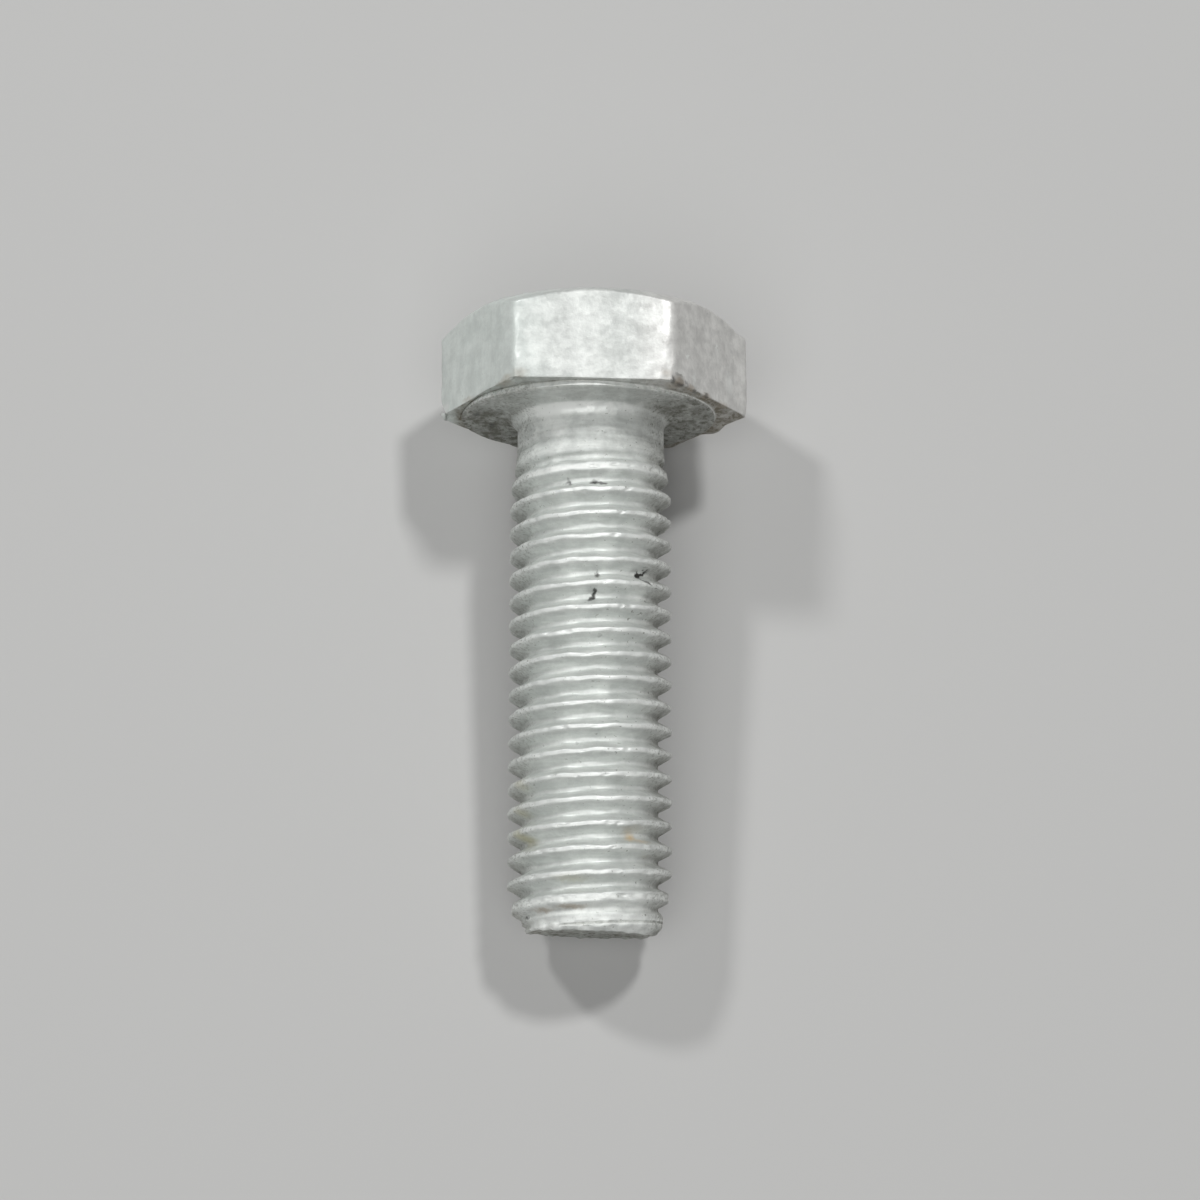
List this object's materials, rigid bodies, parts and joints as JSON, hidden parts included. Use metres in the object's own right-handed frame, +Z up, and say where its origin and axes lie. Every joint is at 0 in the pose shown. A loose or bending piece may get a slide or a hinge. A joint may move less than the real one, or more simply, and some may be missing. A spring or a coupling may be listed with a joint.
{
  "type": "heavy hex structural bolt",
  "caption": "Galvanised heavy hex structural bolt with a round washer face, a short plain neck and a coarse right-hand thread running to a tapered point.",
  "frame": {"origin": "on the bolt's axis, in the plane of the bearing face", "axes": "+Z up; the bolt lies on a flat surface with its head towards +Y and its point towards -Y, the point a little lower because the head is wider than the thread; +X across two corners of the hexagon"},
  "size_m": [0.0302, 0.0621, 0.0273],
  "materials": {
    "galvanised_steel": "hot-dip galvanised, soft satin, pale silver grey with faint mottling, grime under the head and light wear"
  },
  "bodies": {
    "root": {"bolt": "galvanised_steel"}
  },
  "joints": []
}
